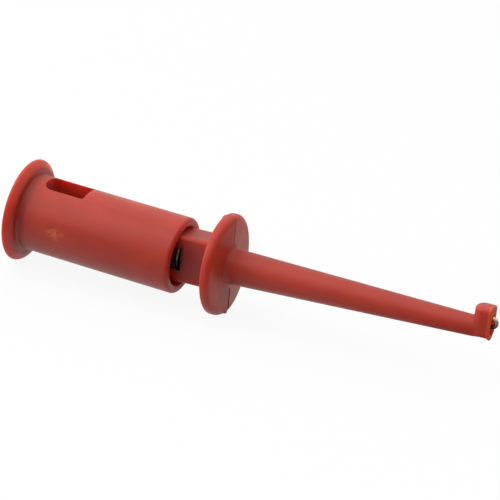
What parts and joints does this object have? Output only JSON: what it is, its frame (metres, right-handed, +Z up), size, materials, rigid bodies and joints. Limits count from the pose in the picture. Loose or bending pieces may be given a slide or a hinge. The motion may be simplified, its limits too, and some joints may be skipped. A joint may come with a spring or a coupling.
{
  "type": "test hook clip",
  "caption": "Plunger-action test hook clip: a thumb plunger slides over a split barrel with a finger flange, and pushes a sprung wire hook out of the long nose to grip a component lead.",
  "frame": {"origin": "on the barrel axis, at the seam on the front face of the finger flange", "axes": "+X along the barrel axis towards the nose and hook, +Z up towards the raised head tooth, +Y to the left seen from behind"},
  "size_m": [0.0574, 0.012, 0.0125],
  "materials": {
    "red_nylon": "satin moulded nylon",
    "gold_plated_wire": "gold-plated copper alloy wire",
    "spring_steel": "drawn spring wire"
  },
  "bodies": {
    "barrel": {"barrel_left_half": "red_nylon", "barrel_right_half": "red_nylon", "return_spring": "spring_steel"},
    "plunger": {"plunger": "red_nylon", "hook": "gold_plated_wire"}
  },
  "joints": [
    {"name": "plunger_slide", "type": "slide", "parent": "barrel", "child": "plunger", "axis": [1, 0, 0], "range_m": [0, 0.004], "stiffness_N_per_m": 200, "springref_m": -0.004, "deforming": ["return_spring"]}
  ]
}
